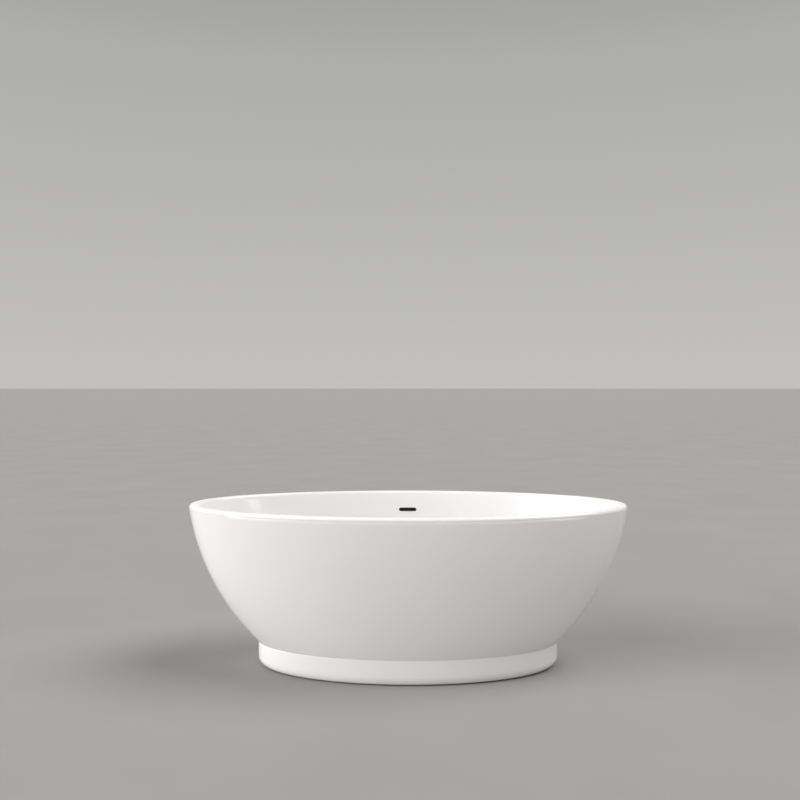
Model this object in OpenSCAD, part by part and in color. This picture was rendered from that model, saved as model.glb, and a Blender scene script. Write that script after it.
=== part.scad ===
// Freestanding double-ended oval bathtub: two acrylic shells on a plinth band,
// a steel cradle with four levelling feet, a slotted overflow and a click waste.
// X is the length, Y the width (overflow on the +Y side), Z up from the floor.

/* [Bathtub] */
// Overall length, along X
tub_len = 1600; // [1560:5:1640]
// Overall width, along Y
tub_w = 750; // [740:5:780]
// Height of the rim above the floor
tub_h = 590; // [580:1:610]
// Thickness of the reinforced acrylic basin
basin_t = 6; // [5:0.5:7]
// Thickness of the outer acrylic shell
shell_t = 5; // [4:0.5:6]

/* [Rim] */
// Width of the flat rim
rim_w = 34; // [32:1:36]
// Height of the rim's turned-down edge
rim_edge = 12; // [11:1:14]
// Radius of the rim's rounded edges
rim_round = 10; // [8:1:10]

/* [Outer shell] */
// Radius of the bulge from the plinth up to the rim
bulge_r = 850; // [800:10:950]

/* [Plinth] */
// Length of the plinth band
plinth_len = 1097; // [1085:1:1110]
// Height of the plinth's top above the floor
plinth_h = 89; // [86:1:92]
// Radius of the plinth's rounded lower edge
plinth_round = 32; // [24:1:36]
// Thickness of the plinth at its ends, about half of it at its long sides
plinth_t = 8; // [7:0.5:9]
// Gap between the plinth and the floor
floor_gap = 3; // [2:0.5:5]
// Width of the flanges that join the plinth to the outer shell
flange_w = 24; // [20:1:26]

/* [Basin] */
// Height of the basin floor above the ground
basin_floor = 150; // [148:1:154]
// Half length of the flat part of the basin floor
floor_half = 430; // [420:5:440]
// Radius of the blend between the floor and the sloping wall
heel_r = 170; // [165:1:180]
// Lean of the sloping wall at its foot, in degrees from upright
heel_lean = 36; // [34:0.5:38]
// Radius of the sloping wall
wall_r = 1400; // [1200:20:1800]

/* [Overflow] */
// Width of the black overflow slot
slot_w = 70; // [64:1:76]
// Height of the black overflow slot
slot_h = 14; // [12:0.5:16]
// Height of the slot's centre above the floor
slot_z = 518; // [512:1:522]
// Outside diameter of the overflow hose
hose_d = 28; // [24:1:28]

/* [Waste] */
// Diameter of the waste outlet pipe
outlet_d = 40; // [38:1:42]
// Length of the waste outlet pipe
outlet_len = 35; // [30:1:38]
// Diameter of the waste flange
waste_d = 70; // [66:1:74]
// Lift of the waste plug when open
plug_lift = 9; // [6:0.5:10]

/* [Cradle] */
// Side of the square steel tubes
tube = 30; // [28:1:30]
// Wall of the square steel tubes
tube_t = 2; // [1.5:0.5:3]
// Distance of each rail from the middle
rail_y = 70; // [68:1:74]
// Distance of each cross tube from the middle
cross_x = 380; // [370:1:390]
// Distance of each foot from the middle
foot_y = 108; // [106:1:110]
// Diameter of the foot's threaded rod
rod_d = 10; // [10:1:12]
// Diameter of the foot's pad
pad_d = 48; // [40:1:50]

/* [Hidden] */

acrylic = "white";
dark = [0.05, 0.05, 0.05];
steel = [0.55, 0.56, 0.58];
plastic = [0.30, 0.31, 0.33];

smooth = 240;        // segments of the large ovals
round_edge = 96;     // segments of the chrome pieces and the seal ring
fine = 48;           // segments of small round pieces
cut = 1;             // how far a cutting shape runs past a face
fit = 0.05;          // clearance of a shaft in its hole, on the radius
gap = 0.3;           // clearance between neighbouring pieces

half = tub_len / 2;
ratio = tub_w / tub_len;                     // width over length of the outer surfaces
foot_half = plinth_len / 2;                  // half length of the plinth
rim_low = tub_h - rim_edge;                  // underside of the rim's edge
rim_in = half - rim_w;                       // inner edge of the flat rim
ratio_in = (tub_w / 2 - rim_w) / rim_in;     // width over length inside the basin
basin_wall = rim_in + basin_t;               // outside of the basin at the rim
ratio_basin = (tub_w / 2 - rim_w + basin_t) / basin_wall;
ratio_skin = (tub_w / 2 - shell_t) / (half - shell_t);
plinth_in = foot_half - plinth_t;            // half length inside the plinth
basin_under = basin_floor - basin_t;         // underside of the basin floor

// Centre of the arc of radius r from p up to q that bulges away from the axis
function arc_centre(p, q, r) =
    let (d = p - q, h = sqrt(r * r - d * d / 4))
    (p + q) / 2 + h * [d[1], -d[0]] / norm(d);
// Points of that arc, from p to q in n steps
function arc(p, q, r, n) =
    let (c = arc_centre(p, q, r), u = p - c, v = q - c)
    let (a = atan2(u[1], u[0]), b = atan2(v[1], v[0]))
    [for (i = [0:n]) c + r * [cos(a + (b - a) * i / n), sin(a + (b - a) * i / n)]];
// Points of a rounded corner of radius r about c, from angle a to angle b
function corner(c, r, a, b) =
    [for (i = [0:6]) c + r * [cos(a + (b - a) * i / 6), sin(a + (b - a) * i / 6)]];
// Distance from the axis at height z on the arc from p to q
function reach(p, q, r, z) =
    let (c = arc_centre(p, q, r)) c[0] + sqrt(r * r - (z - c[1]) * (z - c[1]));

// Where a floor blend of radius r that starts at height low meets the sloping wall
function heel(low, r) = [floor_half + r * cos(heel_lean), low + r * (1 - sin(heel_lean))];

wall_foot = heel(basin_floor, heel_r);
wall_top = [rim_in - rim_round / 2, tub_h - rim_round];
back_foot = heel(basin_under, heel_r + basin_t);
back_top = [basin_wall - rim_round / 2, rim_low];

// An outline turned about the Z axis and narrowed into an oval, a quarter at a time
module oval(outline, narrow) {
    for (quarter = [0:3])
        scale([1, narrow, 1]) rotate([0, 0, 90 * quarter])
            rotate_extrude(angle = 90, $fn = smooth) polygon(outline);
}
// A straight oval block between two heights
module oval_block(a, b, low, high) {
    translate([0, 0, low]) scale([1, b / a, 1]) cylinder(r = a, h = high - low, $fn = smooth);
}
// A round piece between two heights
module disc(r, low, high) {
    translate([0, 0, low]) cylinder(r = r, h = high - low, $fn = fine);
}
// A round piece with a hole through it
module ring(r, hole, low, high) {
    difference() {
        disc(r, low, high);
        disc(hole, low - cut, high + cut);
    }
}
// A hexagon between two heights, sized by its corners
module hexagon(r, low, high) {
    translate([0, 0, low]) cylinder(r = r, h = high - low, $fn = 6);
}
// A flat bar with round ends, standing out along Y
module slot_bar(w, h, y0, y1) {
    translate([0, y1, 0]) rotate([90, 0, 0]) linear_extrude(y1 - y0) union() {
        square([w - h, h], center = true);
        for (side = [-1, 1]) translate([side * (w - h) / 2, 0]) circle(d = h, $fn = fine);
    }
}

/* ---------- shells ---------- */
skin_low = [foot_half, plinth_h];
skin_high = [half, rim_low];
skin_steps = 20;
wall_steps = 12;
heel_steps = 8;
crown = 0.2;                                 // height that the flat cut takes off the rim
flange_screws = 10;
flange_in = plinth_in - flange_w;            // half length of the opening inside the flanges
lip_w = 8;                                   // width of the plinth's turned-in lower lip
stiffener_drop = 16;                         // how far the stiffener hangs below the rim
stiffener_gap = 2;                           // room between the stiffener and the basin

module basin_space() {
    oval(concat([[0, basin_floor]],
        arc([floor_half, basin_floor], wall_foot, heel_r, heel_steps),
        arc(wall_foot, wall_top, wall_r, wall_steps),
        [[rim_in + rim_round / 2, tub_h], [rim_in + rim_round / 2, tub_h + cut],
         [0, tub_h + cut]]), ratio_in);
}
module basin_body() {
    oval(concat([[0, basin_under]],
        arc([floor_half, basin_under], back_foot, heel_r + basin_t, heel_steps),
        arc(back_foot, back_top, wall_r, wall_steps),
        [[back_top[0] + 1, tub_h - basin_t + cut], [0, tub_h - basin_t + cut]]),
        ratio_basin);
}
module rim() {
    difference() {
        oval(concat([[0, rim_low], [half, rim_low]],
            corner([half - rim_round, tub_h - rim_round + crown], rim_round, 0, 90),
            [[0, tub_h + crown]]), ratio);
        oval_block(half - basin_t, tub_w / 2 - basin_t, rim_low - cut, tub_h - basin_t);
        translate([-tub_len, -tub_len, tub_h]) cube([2 * tub_len, 2 * tub_len, cut]);
    }
}
module basin_shell() {
    color(acrylic) difference() {
        union() {
            rim();
            basin_body();
        }
        basin_space();
        disc(waste_hole, basin_under - cut, basin_floor + cut);
        at_slot() slot_bar(slot_cut[0], slot_cut[1], -2 * basin_t, 3 * basin_t);
    }
}
module outer_shell() {
    inner_low = skin_low + [-shell_t, shell_t];
    inner_high = skin_high + [-shell_t, 0];
    color(acrylic) difference() {
        oval(concat([[0, plinth_h]],
            arc(skin_low, skin_high - [0, gap], bulge_r, skin_steps),
            [[0, rim_low - gap]]), ratio);
        oval(concat([[0, inner_low[1]]],
            arc(inner_low, inner_high, bulge_r, skin_steps),
            [[inner_high[0], rim_low + cut], [0, rim_low + cut]]), ratio_skin);
        oval_block(flange_in, flange_in * ratio, plinth_h - cut, plinth_h + shell_t + cut);
        at_flange_screws() disc(screw_r + fit, plinth_h - cut, plinth_h + shell_t + cut);
    }
}
// Places the screws around the flanges
module at_flange_screws() {
    line = (plinth_in + flange_in) / 2;
    for (i = [0:flange_screws - 1]) {
        turn = 360 * (i + 0.5) / flange_screws;
        translate([line * cos(turn), line * ratio * sin(turn), 0]) children();
    }
}
module plinth_band() {
    round_in = foot_half - plinth_round;
    centre = [round_in, floor_gap + plinth_round];
    outside = corner(centre, plinth_round, -90, 0);
    inside = corner(centre, plinth_round - plinth_t, 0, -90);
    color(acrylic) difference() {
        oval(concat([[round_in - lip_w, floor_gap]], outside,
            [[foot_half, plinth_h], [flange_in, plinth_h],
             [flange_in, plinth_h - shell_t], [plinth_in, plinth_h - shell_t]],
            inside, [[round_in - lip_w, floor_gap + plinth_t]]), ratio);
        at_flange_screws() disc(screw_r + fit, plinth_h - shell_t - cut, plinth_h + cut);
    }
}
module rim_stiffener() {
    low = rim_low - stiffener_drop;
    high = tub_h - basin_t - gap;
    outer = basin_t + shell_t;
    color("tan") difference() {
        oval_block(half - outer, tub_w / 2 - outer, low, high);
        oval_block(basin_wall + stiffener_gap, tub_w / 2 - rim_w + basin_t + stiffener_gap,
            low - cut, high + cut);
    }
}

/* ---------- cradle ---------- */
board = [640, 250, 20];
board_corner = 40;
board_hole = 52;                             // radius of the way for the waste
board_low = basin_under - board[2];
rail_low = board_low - tube;
cross_low = rail_low - tube;
rail_len = 860;
cross_len = 290;
screw_r = 2.5;
screw_head = [5, 3];                         // radius and height of a screw's head
screw_bite = 14;                             // how far a screw goes into the board
bolt_r = 4;
bolt_hole = bolt_r + 0.2;
hex_r = 7.5;                                 // corner radius of the M8 heads and nuts
bolt_head_h = 5.3;
bolt_nut_h = 6.5;
rod_r = rod_d / 2;
rod_hole = rod_r + 0.4;
board_screw_x = [-250, -90, 90, 250];

module base_board() {
    color("burlywood") difference() {
        translate([0, 0, board_low]) linear_extrude(board[2]) union() {
            square([board[0], board[1] - 2 * board_corner], center = true);
            square([board[0] - 2 * board_corner, board[1]], center = true);
            for (sx = [-1, 1], sy = [-1, 1])
                translate([sx * (board[0] / 2 - board_corner), sy * (board[1] / 2 - board_corner)])
                    circle(r = board_corner, $fn = fine);
        }
        disc(board_hole, board_low - cut, basin_under + cut);
        for (x = board_screw_x, y = [-rail_y, rail_y])
            translate([x, y, 0]) disc(screw_r + fit, board_low - cut, board_low + screw_bite + cut);
    }
}
// A square tube along X, centred on the origin
module square_tube(length) {
    difference() {
        cube([length, tube, tube], center = true);
        cube([length + 2 * cut, tube - 2 * tube_t, tube - 2 * tube_t], center = true);
    }
}
module rail(side) {
    color(steel) difference() {
        translate([0, side * rail_y, rail_low + tube / 2]) square_tube(rail_len);
        for (x = board_screw_x)
            translate([x, side * rail_y, 0]) disc(screw_r + gap, rail_low - cut, board_low + cut);
        for (x = [-cross_x, cross_x])
            translate([x, side * rail_y, 0]) disc(bolt_hole, rail_low - cut, board_low + cut);
    }
}
module cross_tube(side) {
    color(steel) difference() {
        translate([side * cross_x, 0, cross_low + tube / 2])
            rotate([0, 0, 90]) square_tube(cross_len);
        for (sy = [-1, 1]) {
            translate([side * cross_x, sy * rail_y, 0])
                disc(bolt_hole, cross_low - cut, rail_low + cut);
            translate([side * cross_x, sy * foot_y, 0])
                disc(rod_hole, cross_low - cut, rail_low + cut);
            translate([side * cross_x, sy * block_screw_y, 0])
                disc(screw_r + fit, cross_low - cut, cross_low + tube_t + cut);
        }
    }
}
module board_screws() {
    color(steel) for (x = board_screw_x, y = [-rail_y, rail_y]) translate([x, y, 0]) {
        disc(screw_r, rail_low - cut, board_low + screw_bite);
        disc(screw_head[0], rail_low - screw_head[1], rail_low);
    }
}
module at_bolts() {
    for (sx = [-1, 1], sy = [-1, 1]) translate([sx * cross_x, sy * rail_y, 0]) children();
}
module frame_bolts() {
    color(steel) at_bolts() {
        disc(bolt_r, cross_low - cut, board_low + bolt_nut_h + 3);
        hexagon(hex_r, cross_low - bolt_head_h, cross_low);
    }
}
module frame_nuts() {
    color(steel) at_bolts() difference() {
        hexagon(hex_r, board_low, board_low + bolt_nut_h);
        disc(bolt_r + fit, board_low - cut, board_low + bolt_nut_h + cut);
    }
}

/* ---------- plinth blocks ---------- */
block = [70, 90];
block_low = 40;
block_in = 121;                              // distance of a block from the middle plane
block_screw_y = 134;

module plinth_blocks() {
    high = plinth_h - shell_t - gap;
    color("burlywood") difference() {
        intersection() {
            oval_block(plinth_in - 2 * gap, plinth_in * ratio - gap, block_low, high);
            for (sx = [-1, 1], sy = [-1, 1])
                translate([sx * cross_x - block[0] / 2,
                    sy > 0 ? block_in : -block_in - block[1], block_low])
                    cube([block[0], block[1], high - block_low]);
        }
        for (side = [-1, 1]) translate([side * cross_x, 0, cross_low + tube])
            cube([tube + 2 * gap, cross_len + 2 * gap, 2 * tube], center = true);
        at_block_screws() disc(screw_r + fit, block_low - cut, cross_low + cut);
    }
}
module at_block_screws() {
    for (sx = [-1, 1], sy = [-1, 1])
        translate([sx * cross_x, sy * block_screw_y, 0]) children();
}
module block_screws() {
    color(steel) at_block_screws() {
        disc(screw_r, block_low - cut, cross_low + 4 * tube_t);
        disc(screw_head[0], block_low - screw_head[1], block_low);
    }
}
module plinth_screws() {
    low = plinth_h - shell_t;
    color(steel) at_flange_screws() {
        disc(screw_r, low - cut, plinth_h + 2 * shell_t);
        disc(screw_head[0], low - screw_head[1], low);
    }
}

/* ---------- overflow ---------- */
slot_wall_x = reach(wall_foot, wall_top, wall_r, slot_z);
slot_centre = arc_centre(wall_foot, wall_top, wall_r);
slot_lean = atan(ratio_in * (slot_centre[1] - slot_z) / (slot_wall_x - slot_centre[0]));
slot_y = ratio_in * slot_wall_x;
slot_cut = [slot_w - 3, slot_h - 2];         // opening cut through the basin wall
slot_way = [slot_w - 6, slot_h - 5];         // opening inside the liner
waste_hole = 24;                             // radius of the hole in the basin floor
gasket_t = 2;
gasket_w = 14;                               // how much larger than the slot the gasket is
liner_front = -1.6;                          // the liner's face, in front of the wall
liner_lip = -0.5;                            // the back of the liner's lip
housing = [92, 24, 50];                      // width, depth and height
housing_t = 2;
gasket_y = basin_t + 2 * gap;
housing_y = gasket_y + gasket_t;
housing_top = slot_h / 2 + 8;
liner_end = housing_y + 5;
spigot_t = 2;
hose_r = hose_d / 2;
hose_t = 2.2;
spigot_play = 0.8;
spigot_r = hose_r - hose_t - spigot_play;
spigot_low = 445;
hose_start = [0, 340.5, 468];
inlet_z = 76;
hose_end = [0, 50, inlet_z];
clamp_in = 12;                               // distance of a clamp from the hose's end
// Centre line of the hose, chosen between the two shells and under the basin
hose_route = [hose_start, [0, 340.5, 444], [0, 331, 410], [0, 323, 370], [0, 314, 330],
    [0, 303, 290], [0, 291, 250], [0, 276, 210], [0, 255, 170], [0, 232, 140],
    [0, 206, 114], [0, 176, 94], [0, 144, 82], [0, 110, 77], [0, 76, inlet_z], hose_end];

// Places a piece on the basin wall, with +Y pointing out through the wall
module at_slot() {
    translate([0, slot_y, slot_z]) rotate([-slot_lean, 0, 0]) children();
}
module overflow_liner() {
    color(dark) at_slot() difference() {
        union() {
            slot_bar(slot_w, slot_h, liner_front, liner_lip);
            slot_bar(slot_cut[0] - 2 * gap, slot_cut[1] - 2 * gap, liner_front, liner_end);
        }
        slot_bar(slot_way[0], slot_way[1], liner_front - cut, liner_end + cut);
    }
}
module overflow_gasket() {
    color(dark) at_slot() difference() {
        slot_bar(slot_w + gasket_w, slot_h + gasket_w, gasket_y, housing_y);
        slot_bar(slot_w - 2, slot_h - 2, gasket_y - cut, housing_y + cut);
    }
}
module overflow_housing() {
    low = housing_top - housing[2];
    inner = housing - 2 * [housing_t, housing_t, housing_t];
    spigot_high = slot_z + low + housing_t + cut;
    color(plastic) difference() {
        union() {
            at_slot() translate([-housing[0] / 2, housing_y, low]) cube(housing);
            translate([0, hose_start[1], 0]) disc(spigot_r, spigot_low, spigot_high);
        }
        at_slot() translate([-inner[0] / 2, housing_y + housing_t, low + housing_t]) cube(inner);
        at_slot() slot_bar(slot_cut[0], slot_cut[1], 0, housing_y + housing_t + cut);
        translate([0, hose_start[1], 0])
            disc(spigot_r - spigot_t, spigot_low - cut, spigot_high + 3 * housing_t);
    }
}
// Unit steps across a route at point i
function along(route, i) =
    let (a = route[max(0, i - 1)], b = route[min(len(route) - 1, i + 1)]) (b - a) / norm(b - a);
module overflow_hose() {
    sides = 12;
    count = len(hose_route);
    across = [1, 0, 0];
    points = [for (i = [0:count - 1]) let (up = cross(along(hose_route, i), across))
        for (r = [hose_r, hose_r - hose_t], s = [0:sides - 1])
            hose_route[i] + r * (cos(360 * s / sides) * across + sin(360 * s / sides) * up)];
    function at(i, layer, s) = (2 * i + layer) * sides + s % sides;
    walls = [for (i = [0:count - 2], s = [0:sides - 1], layer = [0, 1])
        layer == 0
            ? [at(i, 0, s), at(i + 1, 0, s), at(i + 1, 0, s + 1), at(i, 0, s + 1)]
            : [at(i, 1, s), at(i, 1, s + 1), at(i + 1, 1, s + 1), at(i + 1, 1, s)]];
    ends = [for (i = [0, count - 1], s = [0:sides - 1])
        i == 0
            ? [at(i, 0, s), at(i, 0, s + 1), at(i, 1, s + 1), at(i, 1, s)]
            : [at(i, 0, s), at(i, 1, s), at(i, 1, s + 1), at(i, 0, s + 1)]];
    color(plastic) polyhedron(points = points, faces = concat(walls, ends));
}
// A clamp band about the Z axis, with its screw housing on the +X side
module clamp_band() {
    band = [0.1, 0.9, 8];                    // inside and outside past the hose, and height
    worm = [7, 14, band[2]];
    color(steel) difference() {
        union() {
            disc(hose_r + band[1], -band[2] / 2, band[2] / 2);
            translate([hose_r, -worm[1] / 2, -band[2] / 2]) cube(worm);
        }
        disc(hose_r + band[0], -band[2], band[2]);
    }
}
module hose_clamp_top() {
    translate([0, hose_start[1], hose_start[2] - clamp_in]) clamp_band();
}
module hose_clamp_bottom() {
    translate([0, hose_end[1] + clamp_in, inlet_z]) rotate([90, 0, 0]) clamp_band();
}

/* ---------- waste ---------- */
throat_r = 22;
throat_t = 2;
throat_low = 106;
dish_top = basin_floor + 3;
gasket_h = 3;
nut_r = 31;
nut_h = 8;
grip = [6, 8];                               // depth and width of a grip on the nut
nut_low = basin_under - gasket_h - nut_h;
tee_t = 4;
tee_top = nut_low - 3;
tee_low = 60;
socket_h = 14;
inlet_len = 55;
inlet_end = 71;
outlet_r = outlet_d / 2;
outlet_t = 3;
outlet_low = tee_low - outlet_len;
seal_r = 1.3;                                // radius of the seal ring's section
seal_z = tee_top - 5.5;
seal_way = [3, 1.5];                         // depth and half height of its groove
post_r = 4;
post_foot = 4;                               // height of the post's wider foot
guide_low = 116;
guide_h = 18;
guide_rim = 8;                               // height of the guide's arms and ring
post_low = guide_low - plug_lift - post_foot - gap;  // its foot nears the guide when lifted
plug_r = waste_d / 2 - 4;
plug_seal_t = 2;
plug_h = 8;
plug_round = 3;
plug_dome = 1.5;
seat = dish_top + 0.1;

module drain_flange() {
    color("silver") difference() {
        union() {
            translate([0, 0, basin_floor]) cylinder(r1 = waste_d / 2, r2 = waste_d / 2 - 2,
                h = dish_top - basin_floor, $fn = round_edge);
            disc(throat_r, throat_low, basin_floor + cut);
        }
        disc(throat_r - throat_t, throat_low - cut, dish_top + cut);
    }
}
module drain_gasket() {
    color(dark) ring(waste_d / 2, throat_r + gap, basin_under - gasket_h, basin_under);
}
module drain_nut() {
    color(plastic) difference() {
        union() {
            disc(nut_r, nut_low, nut_low + nut_h);
            for (i = [0:5]) rotate([0, 0, 60 * i])
                translate([nut_r - 2, -grip[1] / 2, nut_low]) cube([grip[0], grip[1], nut_h]);
        }
        disc(throat_r + fit, nut_low - cut, basin_under);
    }
}
module drain_tee() {
    color(plastic) difference() {
        union() {
            disc(throat_r + tee_t, tee_low, tee_top);
            disc(throat_r + 2 * tee_t, tee_top - socket_h, tee_top);
            disc(outlet_r, outlet_low, tee_low + cut);
            translate([0, inlet_end, inlet_z]) rotate([90, 0, 0]) disc(spigot_r, 0, inlet_len);
        }
        disc(throat_r + gap, throat_low - 2, tee_top + cut);
        disc(outlet_r - outlet_t, outlet_low - cut, throat_low);
        translate([0, inlet_end, inlet_z]) rotate([90, 0, 0])
            disc(spigot_r - spigot_t, -cut, inlet_len + cut);
        ring(throat_r + seal_way[0], throat_r - cut, seal_z - seal_way[1], seal_z + seal_way[1]);
    }
}
module tee_seal() {
    color(dark) translate([0, 0, seal_z]) rotate_extrude($fn = round_edge)
        translate([throat_r + seal_r + 5 * fit, 0]) circle(r = seal_r, $fn = fine);
}
module plug_guide() {
    bore = throat_r - throat_t;
    arm_t = 3;
    color(plastic) difference() {
        union() {
            disc(post_r + arm_t, guide_low, guide_low + guide_h);
            for (i = [0:2]) rotate([0, 0, 120 * i + 30])
                translate([post_r + cut, -arm_t / 2, guide_low])
                    cube([bore - post_r - arm_t, arm_t, guide_rim]);
            ring(bore - fit, bore - arm_t, guide_low, guide_low + guide_rim);
        }
        disc(post_r + fit, guide_low - cut, guide_low + guide_h + cut);
    }
}
module plug_post() {
    color("silver") {
        disc(post_r, post_low, seat + plug_seal_t);
        disc(post_r + 2, post_low, post_low + post_foot);
    }
}
module plug_seal() {
    color(dark) ring(plug_r - 3, post_r + fit, seat, seat + plug_seal_t);
}
module plug_cap() {
    high = seat + plug_h;
    color("silver") rotate_extrude($fn = round_edge) polygon(concat(
        [[0, seat + plug_seal_t], [plug_r - 1, seat + plug_seal_t]],
        corner([plug_r - plug_round, high - plug_round], plug_round, 0, 75),
        [[0, high + plug_dome]]));
}

/* ---------- levelling feet ---------- */
rod_top = 118;
rod_low = 4;
pad_edge = 4;                                // height of the pad's straight edge
pad_top = 13;
pad_neck = 9;                                // radius of the pad's top
foot_hex_r = 0.98 * rod_d;
foot_hex_h = 6;
foot_nut_h = 8;

module at_foot(i) {
    translate([(i % 2 == 0 ? -1 : 1) * cross_x, (i < 2 ? -1 : 1) * foot_y, 0]) children();
}
module foot_rod(i) {
    color(steel) at_foot(i) {
        disc(rod_r, rod_low, rod_top);
        hexagon(foot_hex_r, pad_top, pad_top + foot_hex_h);
    }
}
module foot_pad(i) {
    color(dark) at_foot(i) difference() {
        union() {
            disc(pad_d / 2, 0, pad_edge);
            translate([0, 0, pad_edge])
                cylinder(r1 = pad_d / 2, r2 = pad_neck, h = pad_top - pad_edge, $fn = fine);
        }
        disc(rod_r + fit, rod_low, pad_top + cut);
    }
}
module hex_nuts(low) {
    color(steel) for (i = [0:3]) at_foot(i) difference() {
        hexagon(foot_hex_r, low, low + foot_nut_h);
        disc(rod_r + fit, low - cut, low + foot_nut_h + cut);
    }
}

/* ---------- nodes ---------- */
basin_shell();
outer_shell();
plinth_band();
rim_stiffener();
base_board();
rail(-1);  // rail_front
rail(1);  // rail_back
cross_tube(-1);  // cross_left
cross_tube(1);  // cross_right
board_screws();
frame_bolts();
frame_nuts();
plinth_blocks();
block_screws();
plinth_screws();
overflow_liner();
overflow_gasket();
overflow_housing();
overflow_hose();
hose_clamp_top();
hose_clamp_bottom();
drain_flange();
drain_gasket();
drain_nut();
drain_tee();
tee_seal();
plug_guide();
plug_post();
plug_seal();
plug_cap();
hex_nuts(rail_low);  // foot_nuts
hex_nuts(cross_low - foot_nut_h);  // foot_lock_nuts
for (i = [0:3]) {
    foot_rod(i);
    foot_pad(i);
}
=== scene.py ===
"""Looks of the freestanding bathtub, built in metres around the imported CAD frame."""
import math

import bpy
import bmesh
from mathutils import Matrix, Vector


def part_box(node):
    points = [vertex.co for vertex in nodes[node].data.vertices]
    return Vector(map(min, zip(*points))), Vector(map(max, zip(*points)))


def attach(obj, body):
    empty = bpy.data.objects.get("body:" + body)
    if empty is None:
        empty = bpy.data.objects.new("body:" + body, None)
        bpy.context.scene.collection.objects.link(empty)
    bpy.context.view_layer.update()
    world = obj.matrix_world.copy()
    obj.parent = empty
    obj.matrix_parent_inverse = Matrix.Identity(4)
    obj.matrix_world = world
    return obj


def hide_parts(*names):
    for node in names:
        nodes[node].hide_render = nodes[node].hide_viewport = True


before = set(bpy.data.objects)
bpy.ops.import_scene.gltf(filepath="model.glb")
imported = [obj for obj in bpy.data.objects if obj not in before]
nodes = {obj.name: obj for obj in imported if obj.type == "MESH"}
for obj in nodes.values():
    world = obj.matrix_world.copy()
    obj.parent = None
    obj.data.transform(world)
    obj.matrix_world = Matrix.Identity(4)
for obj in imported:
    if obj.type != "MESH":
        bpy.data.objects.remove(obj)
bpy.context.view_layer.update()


# ---------------------------------------------------------------- sizes, metres
tub_low, tub_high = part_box("basin_shell")
plinth_low, plinth_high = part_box("plinth_band")
HALF = (tub_high.x - tub_low.x) / 2
HALF_W = (tub_high.y - tub_low.y) / 2
RIM_Z = tub_high.z
FOOT_HALF = (plinth_high.x - plinth_low.x) / 2
PLINTH_Z = plinth_high.z
PLINTH_LOW = plinth_low.z
FLOOR_Z = RIM_Z - 0.440          # top of the basin floor
BASIN_T = 0.006                  # thickness of the basin
SHELL_T = 0.005                  # thickness of the outer shell and the flanges
PLINTH_T = 0.008                 # thickness of the plinth at its ends
RIM_W = 0.034                    # width of the flat rim
RIM_EDGE = 0.012                 # height of the rim's turned-down edge
RIM_ROUND = 0.010                # rounding of the rim's edges
SEAM = 0.0002                    # hairline between shell and rim
BULGE_R = 0.850                  # bulge of the outer shell
FLOOR_HALF = 0.430               # half length of the flat basin floor
HEEL_R = 0.170                   # blend from the floor to the wall
HEEL_LEAN = math.radians(36)     # lean of the wall at its foot
WALL_R = 1.400                   # curve of the sloping wall
PLINTH_ROUND = 0.032             # rounding of the plinth's lower edge
FLANGE_W = 0.024                 # flanges between plinth and outer shell
RATIO = HALF_W / HALF
RIM_IN = HALF - RIM_W
RATIO_IN = (HALF_W - RIM_W) / RIM_IN
RATIO_BACK = (HALF_W - RIM_W + BASIN_T) / (RIM_IN + BASIN_T)
RATIO_SKIN = (HALF_W - SHELL_T) / (HALF - SHELL_T)
SEGMENTS = 288                   # steps round an oval


# ---------------------------------------------------------------- curves in a section
def arc_centre(p, q, radius):
    """Centre of the arc from p up to q that bulges away from the axis."""
    dx, dz = p[0] - q[0], p[1] - q[1]
    chord = math.hypot(dx, dz)
    reach = math.sqrt(radius * radius - chord * chord / 4)
    return ((p[0] + q[0]) / 2 + reach * dz / chord, (p[1] + q[1]) / 2 - reach * dx / chord)


def arc(p, q, radius, steps):
    """Points (reach, height) along that arc, from p to q."""
    cx, cz = arc_centre(p, q, radius)
    start = math.atan2(p[1] - cz, p[0] - cx)
    end = math.atan2(q[1] - cz, q[0] - cx)
    turns = [start + (end - start) * i / steps for i in range(steps + 1)]
    return [(cx + radius * math.cos(t), cz + radius * math.sin(t)) for t in turns]


def corner(cx, cz, radius, start, end, steps=8):
    """Points of a rounded corner about (cx, cz), between two angles in degrees."""
    turns = [math.radians(start + (end - start) * i / steps) for i in range(steps + 1)]
    return [(cx + radius * math.cos(t), cz + radius * math.sin(t)) for t in turns]


def heel_end(low, radius):
    """Where the floor blend that starts at height low meets the sloping wall."""
    return (FLOOR_HALF + radius * math.cos(HEEL_LEAN), low + radius * (1 - math.sin(HEEL_LEAN)))


def narrowed(points, ratio):
    """Section points as rings (half length, half width, height)."""
    return [(x, x * ratio, z) for x, z in points]


def inset(points, from_x, from_y):
    """Section points measured from the end of the tub, as rings with even width."""
    return [(x, from_y + (x - from_x), z) for x, z in points]


# ---------------------------------------------------------------- mesh helpers
def add_mesh(name, verts, faces, material, body="tub", sharp=38):
    """A smooth-shaded piece that rides on a body, with its tighter edges kept crisp."""
    mesh = bpy.data.meshes.new(name)
    mesh.from_pydata([tuple(v) for v in verts], [], faces)
    mesh.validate()
    piece = bpy.data.objects.new(name, mesh)
    bpy.context.scene.collection.objects.link(piece)
    tidy_normals(piece, sharp)
    mesh.materials.append(material)
    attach(piece, body)
    return piece


def tidy_normals(piece, sharp=38):
    """Faces point outward and shade smooth up to an angle in degrees."""
    work = bmesh.new()
    work.from_mesh(piece.data)
    bmesh.ops.recalc_face_normals(work, faces=work.faces)
    work.to_mesh(piece.data)
    work.free()
    piece.data.shade_smooth()
    piece.data.set_sharp_from_angle(angle=math.radians(sharp))


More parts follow.
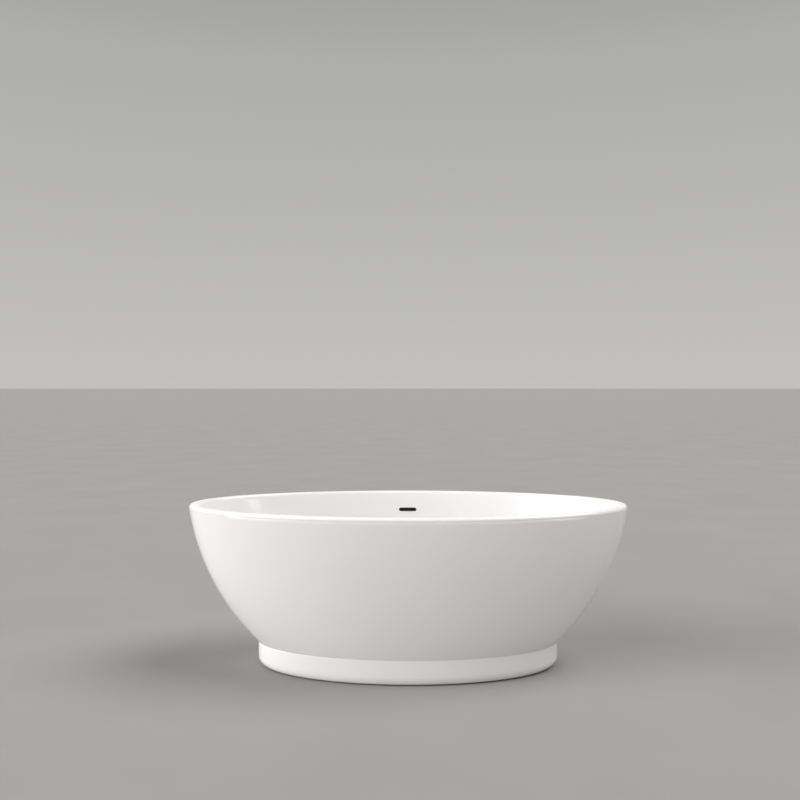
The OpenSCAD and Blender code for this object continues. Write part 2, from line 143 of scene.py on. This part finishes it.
def ring_faces(count, around, closed):
    """Quads between successive rings of points."""
    pairs = [(i, i + 1) for i in range(count - 1)]
    if closed:
        pairs.append((count - 1, 0))
    return [(a * around + s, a * around + (s + 1) % around,
             b * around + (s + 1) % around, b * around + s)
            for a, b in pairs for s in range(around)]


def oval_piece(name, rings, material, replaces, segments=SEGMENTS, sharp=38):
    """A closed shell from rings (half length, half width, height)."""
    verts = []
    for a, b, z in rings:
        for s in range(segments):
            turn = 2 * math.pi * s / segments
            verts.append((a * math.cos(turn), b * math.sin(turn), z))
    piece = add_mesh(name, verts, ring_faces(len(rings), segments, True), material, sharp=sharp)
    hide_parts(replaces)
    return piece


def lathe(name, outline, material, replaces, body="tub", at=(0, 0, 0), around=96,
          closed=True, sharp=38, axis=None):
    """A turned piece: outline points (radius, height) about an axis through at."""
    turn_to = Matrix.Translation(Vector(at))
    if axis is not None:
        turn_to = turn_to @ Vector((0, 0, 1)).rotation_difference(Vector(axis)).to_matrix().to_4x4()
    verts = []
    for radius, height in outline:
        for s in range(around):
            turn = 2 * math.pi * s / around
            local = Vector((radius * math.cos(turn), radius * math.sin(turn), height))
            verts.append(turn_to @ local)
    faces = ring_faces(len(outline), around, closed)
    if not closed:
        faces.append(tuple(range(around)))
        faces.append(tuple(range((len(outline) - 1) * around, len(outline) * around)))
    piece = add_mesh(name, verts, faces, material, body, sharp)
    if replaces:
        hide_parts(replaces)
    return piece


def soften(outline, radius, steps=3):
    """A closed outline with every corner rounded, for edges that catch the light."""
    result = []
    count = len(outline)
    for i in range(count):
        here = Vector(outline[i])
        before = Vector(outline[i - 1]) - here
        after = Vector(outline[(i + 1) % count]) - here
        reach = min(radius, before.length * 0.45, after.length * 0.45)
        start = here + before.normalized() * reach
        end = here + after.normalized() * reach
        for step in range(steps + 1):
            t = step / steps
            point = start * (1 - t) ** 2 + here * 2 * t * (1 - t) + end * t ** 2
            result.append((point.x, point.y))
    return result


def bevel_node(name, width, segments=2):
    """Gives a CAD node's crisp edges a small rounding."""
    bevel = nodes[name].modifiers.new("edge", "BEVEL")
    bevel.width = width
    bevel.segments = segments
    bevel.limit_method = "ANGLE"
    bevel.angle_limit = math.radians(40)
    bevel.harden_normals = True


def smooth_node(name):
    """Shades a CAD node smooth across its curved faces."""
    mesh = nodes[name].data
    mesh.shade_smooth()
    mesh.set_sharp_from_angle(angle=math.radians(30))


# ---------------------------------------------------------------- materials
class Surface:
    """A Principled material whose colour, roughness and bump come from nodes."""

    def __init__(self, name, roughness=0.5, metallic=0.0, **sockets):
        self.material = bpy.data.materials.new(name)
        self.material.use_nodes = True
        self.tree = self.material.node_tree
        self.shader = self.tree.nodes["Principled BSDF"]
        self.shader.inputs["Roughness"].default_value = roughness
        self.shader.inputs["Metallic"].default_value = metallic
        for socket, value in sockets.items():
            self.shader.inputs[socket.replace("_", " ")].default_value = value
        self.coords = self.add("ShaderNodeTexCoord").outputs["Object"]
        self.height = None

    def add(self, kind, **settings):
        """A new shader node with its settings."""
        node = self.tree.nodes.new(kind)
        for key, value in settings.items():
            setattr(node, key, value)
        return node

    def link(self, source, target):
        """Joins an output to an input."""
        self.tree.links.new(source, target)

    def stretched(self, scale):
        """Object coordinates scaled along each axis."""
        mapping = self.add("ShaderNodeMapping")
        mapping.inputs["Scale"].default_value = scale
        self.link(self.coords, mapping.inputs["Vector"])
        return mapping.outputs["Vector"]

    def noise(self, scale, detail=3.0, rough=0.5, coords=None, distortion=0.0):
        """A noise value between 0 and 1, by features per metre."""
        texture = self.add("ShaderNodeTexNoise")
        texture.inputs["Scale"].default_value = scale
        texture.inputs["Detail"].default_value = detail
        texture.inputs["Roughness"].default_value = rough
        texture.inputs["Distortion"].default_value = distortion
        self.link(coords or self.coords, texture.inputs["Vector"])
        return texture.outputs["Fac"]

    def ramp(self, value, stops):
        """A colour ramp with (position, colour) stops."""
        ramp = self.add("ShaderNodeValToRGB")
        elements = ramp.color_ramp.elements
        while len(elements) < len(stops):
            elements.new(0.5)
        for element, (position, colour) in zip(elements, stops):
            element.position = position
            element.color = (*colour, 1.0)
        self.link(value, ramp.inputs["Fac"])
        return ramp.outputs["Color"]

    def spread(self, value, low, high, from_low=0.3, from_high=0.7):
        """A value mapped from one range to another."""
        node = self.add("ShaderNodeMapRange")
        node.inputs["From Min"].default_value = from_low
        node.inputs["From Max"].default_value = from_high
        node.inputs["To Min"].default_value = low
        node.inputs["To Max"].default_value = high
        self.link(value, node.inputs["Value"])
        return node.outputs["Result"]

    def colour(self, value, stops):
        """Base colour from a value through (position, colour) stops."""
        self.link(self.ramp(value, stops), self.shader.inputs["Base Color"])

    def roughness(self, value, low, high):
        """Roughness that follows a value, from low to high."""
        self.link(self.spread(value, low, high), self.shader.inputs["Roughness"])

    def bump(self, value, distance, strength=1.0):
        """Adds a height in metres to the surface."""
        node = self.add("ShaderNodeBump")
        node.inputs["Distance"].default_value = distance
        node.inputs["Strength"].default_value = strength
        self.link(value, node.inputs["Height"])
        if self.height is not None:
            self.link(self.height, node.inputs["Normal"])
        self.height = node.outputs["Normal"]
        self.link(self.height, self.shader.inputs["Normal"])


def make_acrylic():
    """Gloss white sanitary acrylic: a faint forming ripple, fine wipe marks and a warm cast."""
    made = Surface("gloss_white_acrylic", 0.10, IOR=1.49, Coat_Weight=0.35,
                   Coat_Roughness=0.04, Coat_IOR=1.5)
    slow = made.noise(2.2, 2.0)
    made.colour(slow, [(0.30, (0.855, 0.850, 0.843)), (0.70, (0.880, 0.875, 0.869))])
    wipes = made.noise(26.0, 6.0, 0.62, made.stretched((0.35, 1.0, 1.6)), 0.6)
    made.roughness(wipes, 0.085, 0.145)
    made.bump(made.noise(5.5, 1.0), 0.0011, 0.30)
    made.bump(made.noise(420.0, 2.0), 0.00003, 0.30)
    return made.material


def make_chrome():
    """Polished chrome plate with faint water haze."""
    made = Surface("polished_chrome", 0.07, 1.0)
    haze = made.noise(90.0, 5.0, 0.6)
    made.colour(haze, [(0.3, (0.78, 0.79, 0.80)), (0.7, (0.88, 0.885, 0.89))])
    made.roughness(haze, 0.05, 0.13)
    made.bump(made.noise(600.0, 2.0), 0.00002, 0.3)
    return made.material


def make_plastic(name, dark, light, rough_low, rough_high, grain=900.0, depth=0.00006):
    """Moulded plastic with a fine spark-eroded grain."""
    made = Surface(name, (rough_low + rough_high) / 2)
    cloud = made.noise(35.0, 3.0)
    made.colour(cloud, [(0.3, dark), (0.7, light)])
    made.roughness(made.noise(160.0, 4.0), rough_low, rough_high)
    made.bump(made.noise(grain, 2.0, 0.6), depth, 0.6)
    return made.material


def make_rubber():
    """Black rubber, dusty in patches."""
    made = Surface("black_rubber", 0.7)
    dust = made.noise(120.0, 6.0, 0.65)
    made.colour(dust, [(0.42, (0.012, 0.012, 0.013)), (0.75, (0.055, 0.053, 0.050))])
    made.roughness(dust, 0.60, 0.85)
    made.bump(made.noise(1400.0, 2.0), 0.00005, 0.7)
    return made.material


def make_powder_steel():
    """Grey powder coat with its fine orange peel."""
    made = Surface("grey_powder_coat", 0.45)
    cloud = made.noise(8.0, 3.0)
    made.colour(cloud, [(0.3, (0.17, 0.175, 0.185)), (0.7, (0.215, 0.22, 0.23))])
    made.roughness(made.noise(70.0, 4.0), 0.34, 0.50)
    made.bump(made.noise(650.0, 2.0), 0.00008, 0.6)
    return made.material


def make_zinc():
    """Zinc plate with its pale patches and a brushed grain."""
    made = Surface("zinc_plate", 0.35, 1.0)
    cell = made.add("ShaderNodeTexVoronoi")
    cell.inputs["Scale"].default_value = 260.0
    made.link(made.coords, cell.inputs["Vector"])
    made.colour(cell.outputs["Distance"],
                [(0.1, (0.50, 0.50, 0.47)), (0.6, (0.68, 0.67, 0.62))])
    made.roughness(made.noise(300.0, 4.0), 0.26, 0.46)
    made.bump(made.noise(700.0, 3.0, 0.6, made.stretched((1.0, 1.0, 0.2))), 0.00003, 0.5)
    return made.material


def make_plywood():
    """Resin-sealed plywood: long grain on the faces and stacked veneers on the edges."""
    made = Surface("sealed_plywood", 0.38, Coat_Weight=0.25, Coat_Roughness=0.2)
    grain = made.noise(60.0, 6.0, 0.6, made.stretched((0.09, 1.0, 1.0)), 1.4)
    layers = made.add("ShaderNodeTexWave", wave_type="BANDS", bands_direction="Z")
    layers.inputs["Scale"].default_value = 95.0
    layers.inputs["Distortion"].default_value = 0.25
    made.link(made.coords, layers.inputs["Vector"])
    mix = made.add("ShaderNodeMix", data_type="RGBA", blend_type="MULTIPLY")
    mix.inputs["Factor"].default_value = 0.28
    made.link(made.ramp(grain, [(0.25, (0.30, 0.185, 0.095)), (0.75, (0.56, 0.39, 0.235))]),
              mix.inputs["A"])
    made.link(made.ramp(layers.outputs["Fac"], [(0.2, (0.45, 0.36, 0.28)), (0.6, (1, 1, 1))]),
              mix.inputs["B"])
    made.link(mix.outputs["Result"], made.shader.inputs["Base Color"])
    made.roughness(grain, 0.30, 0.50)
    made.bump(grain, 0.0002, 0.5)
    return made.material


ACRYLIC = make_acrylic()
CHROME = make_chrome()
BLACK = make_plastic("black_plastic", (0.006, 0.006, 0.006), (0.012, 0.012, 0.012), 0.35, 0.55)
GREY = make_plastic("grey_fitting_plastic", (0.085, 0.09, 0.10), (0.12, 0.125, 0.135), 0.30, 0.5)
HOSE = make_plastic("hose_plastic", (0.33, 0.34, 0.36), (0.42, 0.43, 0.45), 0.30, 0.45)
RUBBER = make_rubber()
STEEL = make_powder_steel()
ZINC = make_zinc()
WOOD = make_plywood()


# ---------------------------------------------------------------- shells
def basin_rings():
    """Section of the basin, from the waste hole up the inside, over the rim and down the back."""
    hole, lip, edge_round = 0.024, 0.0015, 0.0005
    under = FLOOR_Z - BASIN_T
    edge = hole + lip
    flat_in = [0.04, 0.12, 0.28, 0.5, 0.75]
    rings = [(hole, hole, under), (hole, hole, FLOOR_Z - lip)]
    rings += [(edge - lip * math.cos(turn), edge - lip * math.cos(turn),
               FLOOR_Z - lip + lip * math.sin(turn)) for turn in (0.5, 1.1)]
    rings.append((edge, edge, FLOOR_Z))
    wide = FLOOR_HALF * RATIO_IN
    rings += [(edge + (FLOOR_HALF - edge) * t, edge + (wide - edge) * t, FLOOR_Z)
              for t in flat_in]
    foot = heel_end(FLOOR_Z, HEEL_R)
    rings += narrowed(arc((FLOOR_HALF, FLOOR_Z), foot, HEEL_R, 16), RATIO_IN)
    top = (RIM_IN - RIM_ROUND / 2, RIM_Z - RIM_ROUND)
    cx, cz = arc_centre(foot, top, WALL_R)
    lean = math.asin((cz - top[1]) / WALL_R)
    fillet_z = RIM_Z - RIM_ROUND + RIM_ROUND * math.sin(lean)
    fillet_x = cx + math.sqrt(WALL_R ** 2 - (cz - fillet_z) ** 2)
    rings += narrowed(arc(foot, (fillet_x, fillet_z), WALL_R, 36)[1:], RATIO_IN)
    roll = corner(fillet_x + RIM_ROUND * math.cos(lean), RIM_Z - RIM_ROUND, RIM_ROUND,
                  180 - math.degrees(lean), 90)
    rings += inset(roll[1:], fillet_x, fillet_x * RATIO_IN)
    low = RIM_Z - RIM_EDGE
    drop = corner(HALF - RIM_ROUND, RIM_Z - RIM_ROUND, RIM_ROUND, 90, 0)
    drop += corner(HALF - edge_round, low + edge_round, edge_round, 0, -90, 3)
    drop += [(HALF - BASIN_T, low), (HALF - BASIN_T, RIM_Z - BASIN_T)]
    rings += inset(drop, HALF, HALF_W)
    back_foot = heel_end(under, HEEL_R + BASIN_T)
    back_top = (RIM_IN + BASIN_T - RIM_ROUND / 2, low)
    back = arc((FLOOR_HALF, under), back_foot, HEEL_R + BASIN_T, 12)
    back += arc(back_foot, back_top, WALL_R, 24)[1:] + [(back_top[0] + 0.002, RIM_Z - BASIN_T)]
    rings += narrowed(back[::-1], RATIO_BACK)
    wide = FLOOR_HALF * RATIO_BACK
    rings += [(hole + (FLOOR_HALF - hole) * t, hole + (wide - hole) * t, under)
              for t in flat_in[::-1]]
    return rings


def shell_rings():
    """Section of the outer shell, up the outside and down the inside to its flange."""
    lip = 0.0004
    top = RIM_Z - RIM_EDGE - SEAM
    skin = arc((FOOT_HALF, PLINTH_Z), (HALF, top), BULGE_R, 44)
    skin = skin[:-1] + [(HALF, top - lip), (HALF - lip, top)]
    rings = narrowed([(FOOT_HALF - lip, PLINTH_Z + SEAM)] + skin, RATIO)
    inner = arc((FOOT_HALF - SHELL_T, PLINTH_Z + SHELL_T), (HALF - SHELL_T, top), BULGE_R, 24)
    rings += narrowed(inner[::-1], RATIO_SKIN)
    return rings + flange_rings(PLINTH_Z + SHELL_T, PLINTH_Z + SEAM)


def flange_rings(first, second):
    """The two edges of a flange around the oval opening over the plinth."""
    reach = FOOT_HALF - PLINTH_T - FLANGE_W
    return narrowed([(reach, first), (reach, second)], RATIO)


def plinth_rings():
    """Section of the plinth band: rounded foot, upright side, rolled top edge and flange."""
    roll, lip, rise = 0.0025, 0.008, 0.001
    foot = FOOT_HALF - PLINTH_ROUND
    section = [(foot - lip, PLINTH_LOW + rise), (foot - lip + rise, PLINTH_LOW)]
    section += corner(foot, PLINTH_LOW + PLINTH_ROUND, PLINTH_ROUND, -90, 0, 14)
    section += corner(FOOT_HALF - roll, PLINTH_Z - roll, roll, 0, 90, 5)
    rings = narrowed(section, RATIO) + flange_rings(PLINTH_Z, PLINTH_Z - SHELL_T)
    inside = [(FOOT_HALF - PLINTH_T, PLINTH_Z - SHELL_T)]
    inside += corner(foot, PLINTH_LOW + PLINTH_ROUND, PLINTH_ROUND - PLINTH_T, 0, -90)
    return rings + narrowed(inside + [(foot - lip, PLINTH_LOW + PLINTH_T)], RATIO)


# ---------------------------------------------------------------- overflow
SLOT_W, SLOT_H, SLOT_Z = 0.070, 0.014, 0.518


def slot_place():
    """Where the slot sits on the basin's inner wall, with +Y out through the wall."""
    foot = heel_end(FLOOR_Z, HEEL_R)
    top = (RIM_IN - RIM_ROUND / 2, RIM_Z - RIM_ROUND)
    cx, cz = arc_centre(foot, top, WALL_R)
    x = cx + math.sqrt(WALL_R ** 2 - (cz - SLOT_Z) ** 2)
    lean = math.atan(RATIO_IN * (cz - SLOT_Z) / (x - cx))
    return Matrix.Translation((0, RATIO_IN * x, SLOT_Z)) @ Matrix.Rotation(-lean, 4, "X")


def stadium(width, height, depth, place, steps=20):
    """Points of a round-ended slot outline at a depth through the wall."""
    points = []
    for side, start in ((1, -90), (-1, 90)):
        for i in range(steps + 1):
            turn = math.radians(start + 180 * i / steps)
            x = side * (width - height) / 2 + height / 2 * math.cos(turn)
            points.append(place @ Vector((x, depth, height / 2 * math.sin(turn))))
    return points


def slot_loft(name, section, material, place):
    """A slot-shaped tube from closed section rows (width, height, depth)."""
    verts = []
    for width, height, depth in section:
        verts += stadium(width, height, depth, place)
    around = len(verts) // len(section)
    return add_mesh(name, verts, ring_faces(len(section), around, True), material)


def cut_slot(piece):
    """Cuts the slot through the basin wall, keeping the wall's smooth shading."""
    place = slot_place()
    width, height, reach = SLOT_W - 0.003, SLOT_H - 0.002, 0.02
    verts = stadium(width, height, -reach, place) + stadium(width, height, reach, place)
    around = len(verts) // 2
    faces = ring_faces(2, around, False)
    faces += [tuple(range(around)), tuple(range(around, 2 * around))]
    mesh = bpy.data.meshes.new("slot_cutter")
    mesh.from_pydata([tuple(v) for v in verts], [], faces)
    cutter = bpy.data.objects.new("slot_cutter", mesh)
    bpy.context.scene.collection.objects.link(cutter)
    tidy_normals(cutter)
    boolean = piece.modifiers.new("slot", "BOOLEAN")
    boolean.object = cutter
    boolean.solver = "EXACT"
    view = bpy.context.evaluated_depsgraph_get()
    result = bpy.data.meshes.new_from_object(piece.evaluated_get(view))
    piece.modifiers.clear()
    piece.data = result
    bpy.data.objects.remove(cutter)
    result.shade_smooth()
    result.set_sharp_from_angle(angle=math.radians(38))


def make_overflow():
    """The black liner that trims the slot and runs out through the wall."""
    place = slot_place()
    lip, seat = 0.0016, 0.0005
    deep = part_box("overflow_liner")[1].y - place.translation.y
    section = [(0.0012, 0.0012, -lip), (0.0003, 0.0003, -lip * 0.8), (0.0, 0.0, -lip * 0.5),
               (0.0036, 0.0026, -seat), (0.0036, 0.0026, deep), (0.006, 0.005, deep),
               (0.006, 0.005, -lip * 0.6), (0.0052, 0.0042, -lip)]
    trim = slot_loft("overflow_trim", [(SLOT_W - narrower, SLOT_H - lower, depth)
                                       for narrower, lower, depth in section], BLACK, place)
    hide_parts("overflow_liner")


def make_hose():
    """The corrugated overflow hose, along its route between the two shells."""
    route = [(0, 0.3405, 0.468), (0, 0.3405, 0.444), (0, 0.331, 0.410), (0, 0.323, 0.370),
             (0, 0.314, 0.330), (0, 0.303, 0.290), (0, 0.291, 0.250), (0, 0.276, 0.210),
             (0, 0.255, 0.170), (0, 0.232, 0.140), (0, 0.206, 0.114), (0, 0.176, 0.094),
             (0, 0.144, 0.082), (0, 0.110, 0.077), (0, 0.076, 0.076), (0, 0.050, 0.076)]
    step = 0.0011
    path = smooth_path([Vector(point) for point in route], step)
    low_r, high_r, cuff, pitch, wall = 0.0122, 0.0138, 0.022, 0.0062, 0.0012
    length = step * (len(path) - 1)
    side, around = Vector((1, 0, 0)), 28
    verts = []
    for layer in (0, 1):
        order = range(len(path)) if layer == 0 else range(len(path) - 1, -1, -1)
        for i in order:
            along = i * step
            ripple = 0.5 + 0.5 * math.cos(2 * math.pi * along / pitch)
            plain = along < cuff or along > length - cuff
            radius = high_r if plain else low_r + (high_r - low_r) * ripple ** 0.7
            radius -= wall * layer
            ahead = path[min(i + 1, len(path) - 1)] - path[max(i - 1, 0)]
            up = ahead.normalized().cross(side)
            for s in range(around):
                turn = 2 * math.pi * s / around
                verts.append(path[i] + radius * (math.cos(turn) * side + math.sin(turn) * up))
    faces = ring_faces(2 * len(path), around, True)
    hose = add_mesh("overflow_hose_corrugated", verts, faces, HOSE, sharp=70)
    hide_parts("overflow_hose")


def smooth_path(points, step):
    """Points at an even step along a smooth curve through the route."""
    dense = []
    count = len(points)
    for i in range(count - 1):
        p0, p1 = points[max(i - 1, 0)], points[i]
        p2, p3 = points[i + 1], points[min(i + 2, count - 1)]
        for k in range(40):
            t = k / 40
            dense.append(0.5 * (2 * p1 + (p2 - p0) * t + (2 * p0 - 5 * p1 + 4 * p2 - p3) * t ** 2
                                + (3 * p1 - p0 - 3 * p2 + p3) * t ** 3))
    dense.append(points[-1])
    result, travelled = [dense[0]], 0.0
    for a, b in zip(dense, dense[1:]):
        span = (b - a).length
        while span > 0 and travelled + span >= step:
            part = (step - travelled) / span
            a = a.lerp(b, part)
            span = (b - a).length
            result.append(a)
            travelled = 0.0
        travelled += span
    return result


# ---------------------------------------------------------------- waste
def make_waste():
    """The chrome flange in the floor and the click plug that closes it."""
    flange_low, flange_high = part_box("drain_flange")
    wide = flange_high.x
    top = flange_high.z
    throat, bore, funnel = 0.022, 0.020, 0.004
    outline = [(bore, flange_low.z), (throat, flange_low.z), (throat, FLOOR_Z - 0.0005),
               (wide, FLOOR_Z), (wide - 0.002, top), (bore + funnel, top),
               (bore, top - funnel)]
    lathe("waste_flange", soften(outline, 0.0014, 4), CHROME, "drain_flange")
    cap_low, cap_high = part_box("plug_cap")
    edge, half = cap_high.x - 0.003, cap_low.z + 0.003
    dome = [(edge + 0.003 * math.cos(math.radians(t)),
             half + 0.0028 * math.sin(math.radians(t))) for t in range(-80, 81, 16)]
    rise = cap_high.z - dome[-1][1]
    crown = [(dome[-1][0] * math.cos(math.radians(t)),
              dome[-1][1] + rise * math.sin(math.radians(t))) for t in range(8, 89, 8)]
    lathe("click_plug_cap", [(0.001, cap_low.z)] + dome + crown, CHROME, "plug_cap",
          body="plug", closed=False, sharp=50)
    post_low, post_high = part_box("plug_post")
    core, stem, stop = 0.0008, 0.004, 0.006
    low, high = post_low.z, post_high.z - 0.0002
    outline = [(core, low), (stop, low), (stop, low + 0.0032), (stem, low + 0.0038),
               (stem, high), (core, high)]
    lathe("click_plug_post", soften(outline, 0.0005, 2), CHROME, "plug_post",
          body="plug", around=40)


# ---------------------------------------------------------------- levelling feet
def make_foot(index):
    """A threaded rod with its hexagon, and a ribbed rubber pad."""
    rod_name, pad_name, body = f"foot_rod_{index}", f"foot_pad_{index}", f"foot_{index}"
    low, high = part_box(rod_name)
    pad_low, pad_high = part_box(pad_name)
    x, y = (low.x + high.x) / 2, (low.y + high.y) / 2
    radius, groove, pitch, around = 0.005, 0.0006, 0.0015, 24
    tip, blend = 0.0008, 8
    verts = []

    def add_ring(z, reach_at):
        for s in range(around):
            turn = 2 * math.pi * s / around
            reach = reach_at(s, turn)
            verts.append((x + reach * math.cos(turn), y + reach * math.sin(turn), z))

    for z in (low.z, pad_high.z):
        add_ring(z, lambda s, turn: radius)
    across = (high.x - low.x) / 2
    sixth = math.pi / 3
    hex_h, bevel = 0.006, 0.0008
    for z, limit in ((0.0, across - 1.5 * bevel), (bevel, across), (hex_h - bevel, across),
                     (hex_h, across - 1.5 * bevel)):
        add_ring(pad_high.z + z, lambda s, turn: min(limit, across * math.cos(sixth / 2)
                 / math.cos((turn + sixth / 2) % sixth - sixth / 2)))
    neck = pad_high.z + hex_h
    steps = int((high.z - neck) / pitch * 4)
    for i in range(steps + 1):
        z = neck + (high.z - neck) * i / steps
        depth = groove * min(1.0, i / blend, (steps - i) / blend)
        end = tip if i == steps else 0.0
        add_ring(z, lambda s, turn: radius - end
                 - depth * (1 - abs(2 * ((z / pitch - s / around) % 1.0) - 1)))
    count = len(verts) // around
    faces = ring_faces(count, around, False)
    faces += [tuple(range(around)), tuple(range((count - 1) * around, count * around))]
    rod = add_mesh(f"levelling_rod_{index}", verts, faces, ZINC, body, sharp=45)
    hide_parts(rod_name)
    wide, top = (pad_high.x - pad_low.x) / 2, pad_high.z
    hollow, edge, mouth = 0.0008, 0.004, 0.009
    outline = [(radius, edge), (tip, edge), (tip, hollow), (wide * 0.5, hollow),
               (wide * 0.56, 0.0), (wide * 0.94, 0.0), (wide, 0.0014), (wide, edge),
               (wide * 0.9, edge * 1.3), (wide * 0.55, edge * 2.2), (mouth, top - hollow),
               (mouth - 0.001, top), (radius, top)]
    lathe(f"levelling_pad_{index}", soften(outline, 0.0006, 2), RUBBER, pad_name,
          body=body, at=(x, y, 0), around=56)


# ---------------------------------------------------------------- carried-over CAD nodes
def dress(names, material, width):
    """Gives carried-over CAD nodes their material and rounded edges."""
    for name in names:
        piece = nodes[name]
        piece.data.materials.clear()
        piece.data.materials.append(material)
        smooth_node(name)
        if width:
            bevel_node(name, width)


shell_piece = oval_piece("inner_basin", basin_rings(), ACRYLIC, "basin_shell")
cut_slot(shell_piece)
oval_piece("outer_skin", shell_rings(), ACRYLIC, "outer_shell")
oval_piece("plinth_skirt", plinth_rings(), ACRYLIC, "plinth_band")
make_overflow()
make_hose()
make_waste()
for foot in range(1, 5):
    make_foot(foot)
dress(["rim_stiffener"], WOOD, 0)
dress(["base_board", "plinth_blocks"], WOOD, 0.0012)
dress(["rail_front", "rail_back", "cross_left", "cross_right"], STEEL, 0.0008)
dress(["board_screws", "block_screws", "plinth_screws", "frame_bolts", "frame_nuts",
       "foot_nuts", "foot_lock_nuts"], ZINC, 0.0005)
dress(["hose_clamp_top", "hose_clamp_bottom"], ZINC, 0.0003)
dress(["overflow_housing", "drain_nut", "drain_tee", "plug_guide"], GREY, 0.0006)
dress(["overflow_gasket", "drain_gasket", "tee_seal", "plug_seal"], RUBBER, 0)


# ---------------------------------------------------------------- floor, light and camera
def make_floor():
    """A light grey, faintly mottled studio floor that runs to the horizon."""
    made = Surface("studio_floor", 0.9)
    cloud = made.noise(1.5, 3.0)
    made.colour(cloud, [(0.3, (0.32, 0.313, 0.303)), (0.7, (0.34, 0.332, 0.322))])
    made.roughness(made.noise(25.0, 4.0), 0.85, 0.95)
    made.shader.inputs["Specular IOR Level"].default_value = 0.1
    edge, sides = 400.0, 64
    turns = [2 * math.pi * i / sides for i in range(sides)]
    verts = [(edge * math.cos(turn), edge * math.sin(turn), 0) for turn in turns]
    mesh = bpy.data.meshes.new("floor")
    mesh.from_pydata(verts, [], [tuple(range(sides))])
    mesh.materials.append(made.material)
    floor = bpy.data.objects.new("floor", mesh)
    bpy.context.scene.collection.objects.link(floor)


def add_sun(name, azimuth, elevation, spread, strength, colour):
    """A soft far light: degrees round from the front towards +X, degrees up, and its width."""
    around, up = math.radians(azimuth), math.radians(elevation)
    toward = Vector((math.sin(around) * math.cos(up), -math.cos(around) * math.cos(up),
                     math.sin(up)))
    light = bpy.data.lights.new(name, "SUN")
    light.angle = math.radians(spread)
    light.energy = strength
    light.color = colour
    lamp = bpy.data.objects.new(name, light)
    lamp.rotation_euler = toward.to_track_quat("Z", "Y").to_euler()
    bpy.context.scene.collection.objects.link(lamp)


def make_lights():
    """Two keys from the left, a high fill and a window's reflection from the right, a pale room."""
    add_sun("key_low", -78, 10, 30, 1.76, (1.0, 0.996, 0.988))
    add_sun("key_broad", -60, 30, 60, 1.62, (1.0, 0.995, 0.99))
    add_sun("fill_high", 88, 58, 40, 1.98, (1.0, 0.985, 0.972))
    add_sun("back", 180, 40, 80, 0.5, (1.0, 0.985, 0.97))
    add_sun("window", 53, 11, 16, 0.16, (0.985, 0.99, 1.0))
    world = bpy.data.worlds.new("studio")
    world.use_nodes = True
    tree = world.node_tree
    coords = tree.nodes.new("ShaderNodeTexCoord")
    split = tree.nodes.new("ShaderNodeSeparateXYZ")
    fade = tree.nodes.new("ShaderNodeValToRGB")
    sky = tree.nodes["Background"]
    tree.links.new(coords.outputs["Generated"], split.inputs["Vector"])
    tree.links.new(split.outputs["Z"], fade.inputs["Fac"])
    tree.links.new(fade.outputs["Color"], sky.inputs["Color"])
    levels = fade.color_ramp.elements
    levels[0].position, levels[0].color = 0.0, (0.54, 0.535, 0.53, 1)
    levels[1].position, levels[1].color = 0.75, (0.08, 0.079, 0.078, 1)
    middle = levels.new(0.36)
    middle.color = (0.42, 0.417, 0.413, 1)
    bpy.context.scene.world = world


def make_camera():
    """A nearly level camera 3.1 m in front of the tub, 0.43 m above its rim."""
    camera = bpy.data.cameras.new("camera")
    camera.sensor_width = 36.0
    camera.lens = 37.89
    rig = bpy.data.objects.new("camera", camera)
    rig.location = (0.0, -3.090, 1.0177)
    rig.rotation_euler = (math.radians(90 - 0.92), 0.0, math.radians(0.524))
    bpy.context.scene.collection.objects.link(rig)
    bpy.context.scene.camera = rig


make_floor()
make_lights()
make_camera()
bpy.context.scene.view_settings.view_transform = "Standard"
